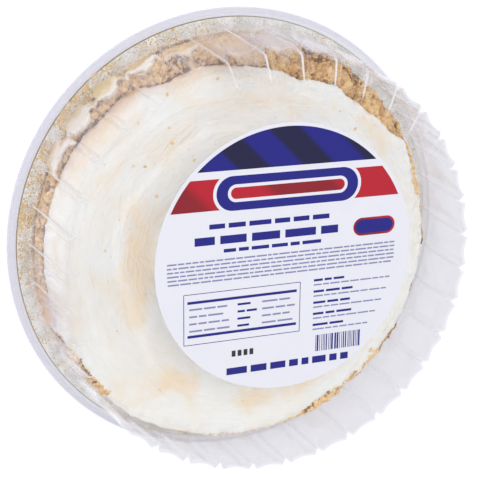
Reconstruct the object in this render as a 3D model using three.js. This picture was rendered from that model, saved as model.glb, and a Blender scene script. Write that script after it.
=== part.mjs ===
// A lemon meringue pie as it is sold: a crumb crust and a whipped topping in a foil pan,
// under a clear fluted dome lid with a round label on its flat top.
// Millimetres, +Z up. The origin is the middle of the pan's base, on its underside, and +X
// runs along the label's lines of print.
import * as THREE from "three";

const GAP = 0.3; // clearance between pieces that rest on or in each other
const TURN = 2 * Math.PI;

// Foil pan
const PAN_DEPTH = 28; // height of the rim's upper face over the table
const PAN_BASE_RADIUS = 97;
const PAN_MOUTH_RADIUS = 118.5;
const PAN_RIM_RADIUS = 127.5;
const FOIL = 0.8;
const ROLL_RADIUS = 1.2; // rolled edge of the rim

// Crumb crust and what it holds, as one solid
const CRUST_RADIUS = 117.4;
const CRUST_RISE = 13; // mean height of its broken edge over the rim
const CRUST_CORE_RISE = 3; // level under the topping
const CRUST_POCKET = 4.5; // depth of the places where its outer edge has crumbled away

// Whipped topping
const TOPPING_RADIUS = 112.6; // mean radius of its uneven edge
const TOPPING_LIMIT = 117.8; // as far as the lid leaves room
const TOPPING_EDGE_RISE = 19; // over the rim, at the rounded edge
const TOPPING_TOP_RISE = 24; // over the rim, near the middle
const SWIRL_RELIEF = 0.9;

// Dome lid
const SHEET = 1; // wall of the lid
const LID_RADIUS = 132; // outer lip
const LIP_DROP = 3.9; // how far the lip hangs under the flange
const WALL_FOOT_RADIUS = 123.8;
const SHOULDER_RADIUS = 118.8;
const SHOULDER_RISE = 66.7; // over the rim
const RING_RADIUS = 95.5; // round the flat top
const RING_RISE = 75.2;
const TOP_RECESS = 1.2; // the flat top lies this much under its ring
const FLUTES = 36;
const FLUTE_PHASE = 4; // degrees from +X to the middle of a groove
const GROOVE_DEPTH = 3.7; // at the shoulder
const PANEL_BOW = 1.3; // how hollow the panels are at the shoulder
const FOOT_SHARE = 0.33; // of both, left at the foot of the wall

// Label
const LABEL_RADIUS = 73.5;
const LABEL_CENTRE = [2.4, 7.6];
const PAPER = 0.4;
const LABEL_GAP = 0.1;

// Steps round the axis
const LID_STEPS = FLUTES * 5;
const FOOD_STEPS = 108;
const PAN_STEPS = 96;
const LABEL_STEPS = 96;

const radians = THREE.MathUtils.degToRad;

// A smooth hump of height 1 round the angle `centre` (degrees), falling to 0 at `width` from it.
function hump(angle, centre, width) {
  const away = Math.atan2(
    Math.sin(angle - radians(centre)),
    Math.cos(angle - radians(centre)),
  );
  const share = Math.min(1, Math.abs(away) / radians(width));
  return (1 + Math.cos(Math.PI * share)) / 2;
}

// Turns a profile of points { r, z } about +Z. `move` may shift a point by [dr, dz] at each angle.
function turned(profile, steps, move = () => [0, 0]) {
  const outline = profile.map((p) => new THREE.Vector2(p.r, p.z));
  const geometry = new THREE.LatheGeometry(outline, steps);
  const position = geometry.getAttribute("position");
  for (let i = 0; i < position.count; i++) {
    const point = profile[i % profile.length];
    const step = Math.floor(i / profile.length) % steps;
    const angle = (step / steps) * TURN;
    const [dr, dz] = point.r === 0 ? [0, 0] : move(point, angle);
    const radius = point.r + dr;
    position.setXYZ(i, radius * Math.cos(angle), radius * Math.sin(angle), point.z + dz);
  }
  return geometry;
}

// The edge of the topping: three slow waves on its mean radius.
function toppingRadius(angle) {
  const waves =
    6.4 * Math.cos(angle + radians(107)) +
    3.5 * Math.cos(2 * angle + radians(20)) +
    2.4 * Math.cos(3 * angle - radians(25));
  return Math.min(TOPPING_RADIUS + waves, TOPPING_LIMIT);
}

// The crust's height over the rim: a crumbled edge with a few slumps.
function crustRise(angle) {
  const crumble =
    0.9 * Math.sin(13 * angle + 1.1) +
    0.7 * Math.sin(22 * angle + 0.4) +
    0.6 * Math.sin(31 * angle + 2.6);
  return CRUST_RISE + crumble - 3 * hump(angle, 75, 24) + 1.5 * hump(angle, -55, 40);
}

// Where the crust's outer edge has broken away, 0 to 1.
function crustPockets(angle) {
  return hump(angle, 66, 8) + 0.8 * hump(angle, 49, 6) + 0.5 * hump(angle, 205, 9);
}

// Low swirls that the spatula left in the topping.
function swirl(radius, angle) {
  const spiral = radius / 17 - angle;
  const arcs = Math.sin(spiral) + 0.6 * Math.sin(2 * angle + radius / 23);
  return SWIRL_RELIEF * arcs * Math.min(1, radius / 30);
}

function panGeometry() {
  const rim = PAN_DEPTH;
  const rollZ = rim - ROLL_RADIUS;
  const rollR = PAN_RIM_RADIUS - ROLL_RADIUS;
  const roll = [];
  for (let k = 0; k <= 4; k++) {
    const turn = radians(-135 + k * 56.25);
    roll.push({
      r: rollR + ROLL_RADIUS * Math.cos(turn),
      z: rollZ + ROLL_RADIUS * Math.sin(turn),
    });
  }
  const profile = [
    { r: 0, z: 0 },
    { r: PAN_BASE_RADIUS, z: 0 },
    { r: PAN_BASE_RADIUS + 3, z: 1.5 },
    { r: PAN_MOUTH_RADIUS + FOIL, z: rim - FOIL },
    ...roll,
    { r: PAN_MOUTH_RADIUS, z: rim },
    { r: PAN_BASE_RADIUS + 2.6, z: 2 },
    { r: PAN_BASE_RADIUS - 0.4, z: FOIL },
    { r: 0, z: FOIL },
  ];
  return turned(profile, PAN_STEPS);
}

function crustGeometry() {
  const rim = PAN_DEPTH;
  const profile = [
    { r: 0, z: FOIL + GAP },
    { r: PAN_BASE_RADIUS - 1, z: FOIL + GAP },
    { r: PAN_BASE_RADIUS + 1.8, z: 2.2 },
    { r: CRUST_RADIUS, z: rim - 1 },
    { r: CRUST_RADIUS, z: rim + 2 },
    { r: CRUST_RADIUS - 0.6, z: rim, edge: "outer" },
    { r: 0.1, z: rim, edge: "inner" },
    { r: 0.1, z: rim + CRUST_CORE_RISE, edge: "core" },
    { r: 0, z: rim + CRUST_CORE_RISE },
  ];
  return turned(profile, FOOD_STEPS, (point, angle) => {
    const rise = crustRise(angle);
    const lip = toppingRadius(angle);
    if (point.edge === "outer") {
      return [-CRUST_POCKET * crustPockets(angle), rise - 1 - 3 * crustPockets(angle)];
    }
    if (point.edge === "inner") {
      return [lip - 5 - point.r, rise];
    }
    if (point.edge === "core") {
      return [lip - 9 - point.r, 0];
    }
    return [0, 0];
  });
}

function toppingGeometry() {
  const rim = PAN_DEPTH;
  const under = CRUST_CORE_RISE + GAP;
  // `inset` is measured inwards from the uneven edge, `share` is a fraction of its radius.
  const profile = [
    { r: 0, z: rim + under },
    { r: 1, z: rim + under, inset: 9.4 },
    { r: 1, z: rim + GAP, inset: 5.4, onCrust: true },
    { r: 1, z: rim + GAP, inset: 1, onCrust: true },
    { r: 1, z: rim + TOPPING_EDGE_RISE - 2, inset: 0 },
    { r: 1, z: rim + TOPPING_EDGE_RISE + 1, inset: 1.5 },
    { r: 1, z: rim + TOPPING_EDGE_RISE + 3, inset: 5 },
    { r: 1, z: rim + TOPPING_TOP_RISE - 1.4, inset: 12, relief: 0.7 },
    { r: 1, z: rim + TOPPING_TOP_RISE - 0.8, share: 0.74, relief: 1 },
    { r: 1, z: rim + TOPPING_TOP_RISE - 0.4, share: 0.5, relief: 1 },
    { r: 1, z: rim + TOPPING_TOP_RISE, share: 0.25, relief: 1 },
    { r: 0, z: rim + TOPPING_TOP_RISE },
  ];
  return turned(profile, FOOD_STEPS, (point, angle) => {
    const lip = toppingRadius(angle);
    const radius = point.share ? lip * point.share : lip - point.inset;
    const lift = point.onCrust ? crustRise(angle) : 0;
    const relief = point.relief ? point.relief * swirl(radius, angle) : 0;
    return [radius - point.r, lift + relief];
  });
}

// How far a groove (1 at its middle) and a hollow panel (1 at its middle) reach at an angle.
function flute(angle) {
  const pitch = TURN / FLUTES;
  const along = THREE.MathUtils.euclideanModulo(angle - radians(FLUTE_PHASE), pitch) / pitch;
  const fromGroove = Math.min(along, 1 - along);
  const grooveHalf = 0.2;
  if (fromGroove < grooveHalf) {
    return { groove: 1 - fromGroove / grooveHalf, panel: 0 };
  }
  const across = (fromGroove - grooveHalf) / (0.5 - grooveHalf);
  return { groove: 0, panel: Math.sin((across * Math.PI) / 2) };
}

function lidGeometry() {
  const rim = PAN_DEPTH + GAP;
  const flange = rim + SHEET;
  const shoulder = PAN_DEPTH + SHOULDER_RISE;
  const ring = PAN_DEPTH + RING_RISE;
  const top = ring - TOP_RECESS;
  const half = (SHOULDER_RADIUS + RING_RADIUS) / 2;
  const halfZ = (shoulder + ring) / 2 + 0.5;
  const lip = PAN_DEPTH + SHEET - LIP_DROP;
  // `flute` is the share of the shoulder's flute depth, as [inwards, downwards].
  const profile = [
    { r: 0, z: top - SHEET },
    { r: RING_RADIUS - 2, z: top - SHEET },
    { r: RING_RADIUS - 0.6, z: ring - SHEET },
    { r: half - 0.3, z: halfZ - SHEET, flute: [0, 0.4] },
    { r: SHOULDER_RADIUS - SHEET, z: shoulder - 0.5, flute: [1, 0.25] },
    { r: WALL_FOOT_RADIUS - SHEET, z: flange + 0.4, flute: [FOOT_SHARE, 0] },
    { r: WALL_FOOT_RADIUS - 0.6, z: rim },
    { r: LID_RADIUS - 3.2, z: rim },
    { r: LID_RADIUS - SHEET, z: rim - 1.4 },
    { r: LID_RADIUS - SHEET, z: lip },
    { r: LID_RADIUS, z: lip },
    { r: LID_RADIUS, z: rim - 0.8 },
    { r: LID_RADIUS - 2.6, z: flange },
    { r: WALL_FOOT_RADIUS + 0.6, z: flange },
    { r: WALL_FOOT_RADIUS, z: flange + 0.8, flute: [FOOT_SHARE, 0] },
    { r: SHOULDER_RADIUS, z: shoulder, flute: [1, 0.25] },
    { r: half, z: halfZ, flute: [0, 0.4] },
    { r: RING_RADIUS, z: ring },
    { r: RING_RADIUS - 1.6, z: top },
    { r: 0, z: top },
  ];
  return turned(profile, LID_STEPS, (point, angle) => {
    if (!point.flute) {
      return [0, 0];
    }
    const { groove, panel } = flute(angle);
    const depth = GROOVE_DEPTH * groove + PANEL_BOW * panel;
    return [-depth * point.flute[0], -depth * point.flute[1]];
  });
}

function labelGeometry() {
  const bottom = PAN_DEPTH + RING_RISE - TOP_RECESS + LABEL_GAP;
  const profile = [
    { r: 0, z: bottom },
    { r: LABEL_RADIUS, z: bottom },
    { r: LABEL_RADIUS, z: bottom + PAPER },
    { r: 0, z: bottom + PAPER },
  ];
  return turned(profile, LABEL_STEPS);
}

function piece(name, geometry, look) {
  const mesh = new THREE.Mesh(geometry, new THREE.MeshStandardMaterial(look));
  mesh.name = name;
  return mesh;
}

const pie = new THREE.Group();
pie.name = "lemon_meringue_pie";

const foil = { color: 0xb9bab4, roughness: 0.35, metalness: 1 };
const crumb = { color: 0xb9803a, roughness: 0.9, metalness: 0 };
const cream = { color: 0xf3ecdd, roughness: 0.6, metalness: 0 };
const clear = { color: 0xe4e4ee, roughness: 0.08, metalness: 0, transparent: true, opacity: 0.3 };
const paper = { color: 0xe4e4f0, roughness: 0.6, metalness: 0 };

pie.add(piece("foil_pan", panGeometry(), foil));
pie.add(piece("crust", crustGeometry(), crumb));
pie.add(piece("topping", toppingGeometry(), cream));
pie.add(piece("dome_lid", lidGeometry(), clear));

const label = piece("label", labelGeometry(), paper);
label.position.set(LABEL_CENTRE[0], LABEL_CENTRE[1], 0);
pie.add(label);

export default pie;
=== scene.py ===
import math
import random

import bmesh
import bpy
import numpy as np
from mathutils import Matrix, Vector
from mathutils.bvhtree import BVHTree


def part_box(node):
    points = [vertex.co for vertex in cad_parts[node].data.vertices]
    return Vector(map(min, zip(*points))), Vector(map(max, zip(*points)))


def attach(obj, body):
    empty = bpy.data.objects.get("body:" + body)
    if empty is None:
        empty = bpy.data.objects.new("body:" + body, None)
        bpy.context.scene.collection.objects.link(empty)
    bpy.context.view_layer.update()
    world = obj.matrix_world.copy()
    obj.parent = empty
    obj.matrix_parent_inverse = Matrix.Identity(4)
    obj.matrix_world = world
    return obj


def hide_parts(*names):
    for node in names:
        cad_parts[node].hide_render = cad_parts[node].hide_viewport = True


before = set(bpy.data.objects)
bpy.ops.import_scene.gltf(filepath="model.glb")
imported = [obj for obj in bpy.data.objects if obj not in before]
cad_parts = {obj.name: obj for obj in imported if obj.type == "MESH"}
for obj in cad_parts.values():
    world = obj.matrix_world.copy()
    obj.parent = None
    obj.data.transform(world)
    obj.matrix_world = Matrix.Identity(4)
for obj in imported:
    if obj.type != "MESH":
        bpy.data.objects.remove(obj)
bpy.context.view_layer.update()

bl_info = {
    "name": "Lemon meringue pie",
    "version": (1, 0, 0),
    "blender": (4, 5, 0),
    "location": "View3D > Sidebar > Pie",
    "description": "A meringue pie with a crumb crust in its foil pan, under a clear fluted lid",
    "category": "Add Mesh",
}

BODY = "root"
MM = 0.001
TURN = 2 * math.pi

# Sizes that the frame gives
PAN_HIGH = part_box("foil_pan")[1]
LID_LOW, LID_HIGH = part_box("dome_lid")
LABEL_LOW, LABEL_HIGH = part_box("label")
RIM = PAN_HIGH.z
RIM_RADIUS = PAN_HIGH.x
LID_RADIUS = LID_HIGH.x
LID_TOP = LID_HIGH.z
LABEL_CENTRE = (LABEL_LOW + LABEL_HIGH) / 2
LABEL_RADIUS = (LABEL_HIGH.x - LABEL_LOW.x) / 2

# The food's uneven outline, with the same waves as the solids
CRUST_RADIUS = 117.4 * MM
CRUST_RISE = 13 * MM
CRUST_CORE = RIM + 3 * MM
CRUST_POCKET = 4.5 * MM
TOPPING_RADIUS = 112.6 * MM
TOPPING_LIMIT = 119.4 * MM
TOPPING_EDGE = RIM + 19 * MM
TOPPING_TOP = RIM + 24 * MM
SWIRL_RELIEF = 0.9 * MM
# Where the topping's edge swells and dents, where the crust's edge stands higher or lower, and where the
# crust's side is broken away: bearing and half width in degrees, and how far (mm, mm and a share)
TOPPING_SWELLS = ((-60, 62, 4.4), (26, 12, 3.4), (71, 6, -2.6), (58, 6, 2.6), (116, 12, -3.2))
CRUST_SWELLS = ((75, 24, -3), (-55, 40, 1.5))
CRUST_POCKETS = ((66, 7, 0.6), (50, 5, 0.6), (205, 9, 0.5))
# The sides (bearing, half width) where the topping is piled higher, where crumb has stained it, where it
# leaves the crust bare and where the crust has shed most crumb
PILED_SIDE = (-60, 70)
STAINED_SIDE = (128, 50)
BARE_SIDE = (66, 46)
SHED_SIDE = (148, 58)

# The lid's flutes, with the same pitch as the solid: narrow grooves between hollow panels
FLUTES = 36
FLUTE_PITCH = TURN / FLUTES
FLUTE_PHASE = math.radians(4)
GROOVE_HALF = 0.125
GROOVE_DEPTH = 3.1 * MM
PANEL_BOW = 1.9 * MM
# The forming isn't quite even: on one side the flutes lie a little further round
FLUTE_DRIFT = math.radians(1.8)
DRIFT_MIDDLE = 160
DRIFT_WIDTH = 85
FOOT_SHARE = 0.33
WALL_FOOT_RADIUS = 123.8 * MM
SHOULDER_RADIUS = 118.8 * MM
SHOULDER = RIM + 66.7 * MM
RING_RADIUS = 95.5 * MM
TOP_RECESS = 1.2 * MM
# Level directions from the axis: towards the camera, where the lip is painted grey and milky, and
# where the grooves' painted highlights are strongest, on the shoulder's slope and on the wall
LIP_PAINTED_SIDE = Vector((-0.906, 0.423, 0))
SLOPE_HIGHLIGHT_SIDE = Vector((0.342, 0.940, 0))
WALL_HIGHLIGHT_SIDE = Vector((-0.999, -0.035, 0))

# Painted reflections: patches on the panels that stand for the topping, crumb and bright surroundings
# mirrored in the sheet: the panel's angle (degrees), the patch's lower and upper edge at the grooves and
# in the panel's middle (mm over the rim), the share that it hides, the level (-1 to 1) below which it has
# its lower colour, lower and upper colour
PAINTED_REFLECTIONS = (
    (150.7, 13, 3, 25, 23, 0.75, -0.3, "#f2e2d0", "#f6f2ec"),
    (140.5, 11, -1, 21, 28, 0.75, -0.4, "#f2e5cc", "#f6f2ec"),
    (130.2, 12, 0, 19, 27, 0.8, 0.1, "#eedcb4", "#f8f5ee"),
    (119.9, 13, 8, 24, 29, 0.75, -0.15, "#ead5ac", "#f8f5ee"),
    (109.6, 21, 19, 32, 35, 0.55, 0.0, "#e6cfaa", "#f2e9de"),
    (99.3, 12, 10, 63, 67, 0.45, 0.1, "#e2c8ac", "#dccabc"),
    (89.2, 8, 6, 60, 63, 0.45, -0.2, "#e0d2c8", "#dcd4d6"),
    (79.1, 4, 3, 57, 59, 0.4, -0.2, "#e4e2e6", "#e2dfe5"),
    (180.6, 12, 9, 26, 30, 0.25, 0.2, "#e4cdb4", "#e2d6d2"),
    (190.4, 12, 9, 44, 50, 0.5, 0.2, "#e0c0a6", "#dcd0d4"),
    (200.0, 12, 9, 40, 46, 0.3, 0.1, "#e2ccb8", "#e0dade"),
)
# The cosines of a painted reflection's half turn round the wall, 5.4 degrees, and of the turn at which it is
# full
REFLECTION_EDGE = (math.cos(math.radians(5.4)), math.cos(math.radians(5.4 - 0.5)))

# Loose crumbs: how many there are of each kind
CHUNKS = 420
BLOCKS_ON_TOP = 1100
BLOCKS_ON_SIDE = 500
RIM_CRUMBS = 1900
GAP_CRUMBS = 2400
STRAY_CRUMBS = 70
# How far a grain's corners are pushed in and out, as shares of its radius
GRAIN_PUSH = (0.68, 1.25)
# Chunks and blocks lie no higher than this, so they stay off the topping
HIGHEST_ON_CRUST = TOPPING_EDGE - 3.5 * MM
# Crumbs on the topping's brink end short of the lid's wall, and under its lip there is room for small
# ones only
CRUMB_LIMIT = 120 * MM
UNDER_LIP = 121.5 * MM
UNDER_LIP_SIZE = 0.6 * MM

# The camera stands where the lid's ellipses have their seen shape
CAMERA_PLACE = Vector((-0.24331, 0.19921, 0.65822))
CAMERA_FORWARD = Vector((0.3500, -0.2865, -0.8919))
CAMERA_UP = Vector((0.0950, 0.9580, -0.2704))
CAMERA_LENS = 90

# Painted shadow: the floor glows less in two discs that show through the lid, under the rim and under the
# shoulder: the bearing of their middles (degrees), each middle's distance and each radius
DIM_BEARING = -39.3
DIM_NEAR = 14 * MM
DIM_NEAR_RADIUS = 138.8 * MM
DIM_FAR = 52.8 * MM
DIM_SPREAD = 1.168

# Wide lamps (name, place, width, power), the key on the camera's side so that the label's shadow falls
# behind it
LAMPS = (
    ("key", (-0.75, 1.0, 2.3), 1.1, 26),
    ("fill", (-1.9, -1.3, 1.9), 2.4, 11),
    ("far", (1.9, 0.9, 2.0), 2.4, 8),
)
# A look through the far side of the lid crosses a dozen faces of clear sheet
CLEAR_FACES = 32


def linear(colour):
    """An sRGB hex colour as linear red, green and blue, with a full alpha."""
    levels = [int(colour[i : i + 2], 16) / 255 for i in (1, 3, 5)]
    curve = [v / 12.92 if v <= 0.04045 else ((v + 0.055) / 1.055) ** 2.4 for v in levels]
    return (*curve, 1.0)


def per_mm(size):
    """The scale at which a texture node's pattern repeats about every `size` millimetres."""
    return 1 / (size * MM)


def level_direction(bearing):
    """The level unit vector at a bearing (degrees from +X towards +Y)."""
    return Vector((math.cos(math.radians(bearing)), math.sin(math.radians(bearing)), 0))


# ---------------------------------------------------------------- formulas of the food


def hump(angle, centre, width):
    """1 at `centre` degrees, falling smoothly to 0 at `width` degrees from it."""
    away = np.arctan2(np.sin(angle - math.radians(centre)), np.cos(angle - math.radians(centre)))
    share = np.minimum(1, np.abs(away) / math.radians(width))
    return (1 + np.cos(math.pi * share)) / 2


def humps(angle, rows, start=0):
    """Several humps added to `start`, each with its own height."""
    return sum((height * hump(angle, centre, width) for centre, width, height in rows), start)


def topping_radius(angle):
    """How far the topping's uneven edge is from the axis."""
    waves = (
        6.4 * np.cos(angle + math.radians(107))
        + 3.5 * np.cos(2 * angle + math.radians(20))
        + 2.4 * np.cos(3 * angle - math.radians(25))
    )
    return np.minimum(TOPPING_RADIUS + humps(angle, TOPPING_SWELLS, waves) * MM, TOPPING_LIMIT)


def crust_rise(angle):
    """How high the crust's crumbled edge stands over the rim."""
    crumble = (
        0.9 * np.sin(13 * angle + 1.1)
        + 0.7 * np.sin(22 * angle + 0.4)
        + 0.6 * np.sin(31 * angle + 2.6)
    )
    return CRUST_RISE + humps(angle, CRUST_SWELLS, crumble) * MM


def crust_pockets(angle):
    """How far the crust's side is broken away, from 0 to about 1."""
    return humps(angle, CRUST_POCKETS)


def swirl(radius, angle):
    """The low waves of the topping, which turn round the pie's middle."""
    spiral = radius / (17 * MM) - angle
    arcs = np.sin(spiral) + 0.6 * np.sin(2 * angle + radius / (23 * MM))
    return SWIRL_RELIEF * arcs * np.minimum(1, radius / (30 * MM))


def stroke(radius, angle):
    """The steps that the spatula's edge leaves: a slow rise and a quick fall along bent spirals."""
    bend = 0.22 * np.sin(2 * angle + 0.6) + 0.12 * np.sin(5 * angle + radius / (31 * MM))
    along = np.mod(radius / (23 * MM) - 1.5 * angle / math.pi + bend, 1)
    rise = np.where(along < 0.86, along / 0.86, (1 - along) / 0.14)
    return (rise * rise * (3 - 2 * rise) - 0.5) * np.minimum(1, radius / (25 * MM))


def flute(angle):
    """How far a groove and a hollow panel reach at an angle, each 1 at its middle."""
    along = np.mod(angle - FLUTE_PHASE, FLUTE_PITCH) / FLUTE_PITCH
    from_groove = np.minimum(along, 1 - along)
    groove = np.maximum(0, 1 - from_groove / GROOVE_HALF)
    across = np.maximum(0, (from_groove - GROOVE_HALF) / (0.5 - GROOVE_HALF))
    return groove, np.sin(across * math.pi / 2)


def at(angle, formula, *numbers):
    """What a formula gives at a single angle."""
    return float(formula(np.array([angle]), *numbers)[0])


def point_at(reach, angle, height):
    return (reach * math.cos(angle), reach * math.sin(angle), height)


# ---------------------------------------------------------------- modelling helpers


def deselect_all():
    for thing in list(bpy.context.selected_objects):
        thing.select_set(False)
    bpy.context.view_layer.objects.active = None


def make_active(piece):
    deselect_all()
    piece.select_set(True)
    bpy.context.view_layer.objects.active = piece


def named(name):
    """The active object, given a name and its place in its mesh."""
    piece = bpy.context.view_layer.objects.active
    piece.name = name
    piece.data.name = name
    bpy.ops.object.transform_apply(location=True, rotation=True, scale=True)
    return piece


def edit(piece):
    """Opens a piece's mesh with all of it selected."""
    make_active(piece)
    bpy.ops.object.mode_set(mode="EDIT")
    bpy.ops.mesh.select_all(action="SELECT")


def close_edit():
    bpy.ops.object.mode_set(mode="OBJECT")


def corners(piece):
    """A piece's vertices as an array of places."""
    places = np.empty(len(piece.data.vertices) * 3)
    piece.data.vertices.foreach_get("co", places)
    return places.reshape(-1, 3)


def polar(places):
    """Each place's distance from the axis and its angle round it."""
    return np.hypot(places[:, 0], places[:, 1]), np.arctan2(places[:, 1], places[:, 0])


def move_corners(piece, places):
    piece.data.vertices.foreach_set("co", np.ascontiguousarray(places).ravel())
    piece.data.update()


def points_between(points, counts):
    """The points of an outline with `counts` steps put between each two."""
    made = [points[0]]
    for (r0, z0), (r1, z1), count in zip(points, points[1:], counts):
        made += [(r0 + (r1 - r0) * k / count, z0 + (z1 - z0) * k / count) for k in range(1, count + 1)]
    return made


def turned(name, rings, steps, outline):
    """A closed round shell: a circle extruded ring by ring, whose rings then follow outline(angle)."""
    deselect_all()
    bpy.ops.mesh.primitive_circle_add(vertices=steps, radius=1, location=(0, 0, 0))
    piece = named(name)
    edit(piece)
    for _ in range(rings - 1):
        bpy.ops.mesh.extrude_edges_move(TRANSFORM_OT_translate={"value": (0, 0, 1)})
    close_edit()
    places = corners(piece)
    ring = np.rint(places[:, 2]).astype(int)
    _, angle = polar(places)
    outlines = outline(angle)
    if len(outlines) != rings:
        raise RuntimeError(f"{name} has {rings} rings and {len(outlines)} points in its outline")
    for number, (radius, height) in enumerate(outlines):
        here = ring == number
        reach = np.broadcast_to(radius, angle.shape)[here]
        places[here, 0] = reach * np.cos(angle[here])
        places[here, 1] = reach * np.sin(angle[here])
        places[here, 2] = np.broadcast_to(height, angle.shape)[here]
    move_corners(piece, places)
    merge(piece, 1e-6)
    face_outwards(piece)
    return piece


def merge(piece, distance):
    edit(piece)
    bpy.ops.mesh.remove_doubles(threshold=distance)
    close_edit()


def face_outwards(piece):
    edit(piece)
    bpy.ops.mesh.normals_make_consistent(inside=False)
    close_edit()


def apply_modifier(piece, kind, settings):
    make_active(piece)
    modifier = piece.modifiers.new(kind.lower(), kind)
    for key, value in settings.items():
        setattr(modifier, key, value)
    bpy.ops.object.modifier_apply(modifier=modifier.name)


def roughen(piece, size, depth, where=None, kind="CLOUDS", detail=2, middle=0.5):
    """Pushes the surface in and out by a seeded noise with features of `size` metres."""
    texture = bpy.data.textures.new("grit", kind)
    texture.noise_scale = size
    if kind == "CLOUDS":
        texture.noise_depth = detail
    settings = {"texture": texture, "texture_coords": "LOCAL", "strength": depth, "mid_level": middle}
    if where is not None:
        group = piece.vertex_groups.new(name="rough")
        for level in np.unique(np.round(where, 2)):
            chosen = np.nonzero(np.round(where, 2) == level)[0]
            group.add([int(i) for i in chosen], float(level), "REPLACE")
        settings["vertex_group"] = "rough"
    apply_modifier(piece, "DISPLACE", settings)
    if where is not None:
        piece.vertex_groups.clear()
    bpy.data.textures.remove(texture)


def smooth(piece, angle=None):
    make_active(piece)
    if angle is None:
        bpy.ops.object.shade_smooth()
    else:
        bpy.ops.object.shade_smooth_by_angle(angle=math.radians(angle))


def finish_piece(piece, material, replaced=None):
    """The finished piece gets its material, its body and the node that it stands for."""
    piece.data.materials.clear()
    piece.data.materials.append(material)
    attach(piece, BODY)
    if replaced:
        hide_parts(replaced)


def paint(piece, name, values):
    """Stores one number a vertex, which a material reads by its name."""
    layer = piece.data.attributes.new(name, "FLOAT", "POINT")
    layer.data.foreach_set("value", np.ascontiguousarray(values, dtype=np.float32))


def make_grain(draw, sides, flatness):
    """A rough little block: an icosphere with each corner pushed by a random draw."""
    deselect_all()
    bpy.ops.mesh.primitive_ico_sphere_add(subdivisions=sides, radius=1, location=(0, 0, 0))
    grain = named("grain")
    places = corners(grain)
    push = np.array([[draw.uniform(*GRAIN_PUSH)] for _ in range(len(places))])
    places = places * push * np.array([1.0, draw.uniform(0.65, 1.0), flatness])
    triangles = np.array([list(face.vertices) for face in grain.data.polygons])
    bpy.data.objects.remove(grain)
    return places, triangles


def scatter(name, grains, spots, draw):
    """One joined mesh with a copy of a random grain, turned at random, at each (place, radius, tone)."""
    all_places, all_triangles, tones, count = [], [], [], 0
    for place, size, shade in spots:
        shape, triangles = draw.choice(grains)
        spin = Matrix.Rotation(draw.uniform(0, TURN), 3, "Z")
        tilt = Matrix.Rotation(draw.uniform(-0.6, 0.6), 3, "X")
        turn = np.array(spin @ tilt)
        all_places.append(shape @ turn.T * size + np.array(place))
        all_triangles.append(triangles + count)
        # Painted light: each grain is paler on top and darker underneath; shade shifts the whole grain
        tones += list(draw.uniform(0.2, 0.8) + shade + 0.25 * shape[:, 2])
        count += len(shape)
    mesh = bpy.data.meshes.new(name)
    mesh.from_pydata(np.concatenate(all_places).tolist(), [], np.concatenate(all_triangles).tolist())
    mesh.update()
    piece = bpy.data.objects.new(name, mesh)
    bpy.context.scene.collection.objects.link(piece)
    paint(piece, "tone", tones)
    return piece


def surface_of(*pieces):
    """A function that gives the pieces' highest point at a distance and angle, or None."""
    trees = []
    for piece in pieces:
        places = corners(piece)
        faces = [list(face.vertices) for face in piece.data.polygons]
        trees.append(BVHTree.FromPolygons([Vector(p) for p in places], faces))

    def top_at(reach, angle):
        above = Vector(point_at(reach, angle, LID_TOP))
        hits = [tree.ray_cast(above, Vector((0, 0, -1))) for tree in trees]
        found = [hit[0] for hit in hits if hit[0] is not None]
        return max(found, key=lambda point: point.z) if found else None

    return top_at


# ---------------------------------------------------------------- materials


def add_node(tree, kind, settings=None, links=None):
    """Adds a node, sets its properties and socket values, and links sockets to what feeds them."""
    made = tree.nodes.new(kind)
    for key, value in (settings or {}).items():
        if isinstance(key, str) and key not in made.inputs.keys():
            setattr(made, key, value)
        else:
            made.inputs[key].default_value = value
    for key, source in (links or {}).items():
        tree.links.new(source, made.inputs[key])
    return made


def fed_node(tree, kind, settings, feeds):
    """A node whose sockets are each fed by a plain value or by another node's output."""
    links = {key: feed for key, feed in feeds.items() if isinstance(feed, bpy.types.NodeSocket)}
    values = {key: feed for key, feed in feeds.items() if key not in links}
    return add_node(tree, kind, {**settings, **values}, links)


def figure(tree, operation, *terms, clamp=False):
    """A number worked out from one, two or three others."""
    settings = {"operation": operation, "use_clamp": clamp}
    return fed_node(tree, "ShaderNodeMath", settings, dict(enumerate(terms))).outputs[0]


def product(tree, first, *factors):
    for factor in factors:
        first = figure(tree, "MULTIPLY", first, factor)
    return first


def vector(tree, operation, *terms, **named_terms):
    """A vector worked out from others."""
    feeds = {**dict(enumerate(terms)), **named_terms}
    return fed_node(tree, "ShaderNodeVectorMath", {"operation": operation}, feeds).outputs["Vector"]


def measure(tree, operation, *terms):
    """A number worked out from vectors: a length, a distance or a dot product."""
    feeds = dict(enumerate(terms))
    return fed_node(tree, "ShaderNodeVectorMath", {"operation": operation}, feeds).outputs["Value"]


def remap(tree, value, start, end, low=0.0, high=1.0):
    """A value carried from start..end to low..high, and held at both ends."""
    settings = {"From Min": start, "From Max": end, "To Min": low, "To Max": high}
    return add_node(tree, "ShaderNodeMapRange", settings, {"Value": value}).outputs["Result"]


def window(tree, value, middle, half, blur):
    """1 within `half` of `middle`, falling to 0 over `blur` outside it."""
    away = figure(tree, "ABSOLUTE", figure(tree, "SUBTRACT", value, middle))
    return remap(tree, away, half + blur, half)


def noise(tree, place, size, detail=2.0, roughness=0.5, distortion=0.0):
    """A noise whose features are about `size` millimetres wide."""
    settings = {"Scale": per_mm(size), "Detail": detail, "Roughness": roughness, "Distortion": distortion}
    return add_node(tree, "ShaderNodeTexNoise", settings, {"Vector": place}).outputs["Fac"]


def bump(tree, height, strength, depth, under=None):
    """A surface raised by up to `depth` metres, on top of the bump `under`."""
    links = {"Height": height} if under is None else {"Height": height, "Normal": under}
    settings = {"Strength": strength, "Distance": depth}
    return add_node(tree, "ShaderNodeBump", settings, links).outputs["Normal"]


def mixed_colour(tree, share, first, second):
    feeds = {0: share, 6: first, 7: second}
    return fed_node(tree, "ShaderNodeMix", {"data_type": "RGBA"}, feeds).outputs[2]


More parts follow.
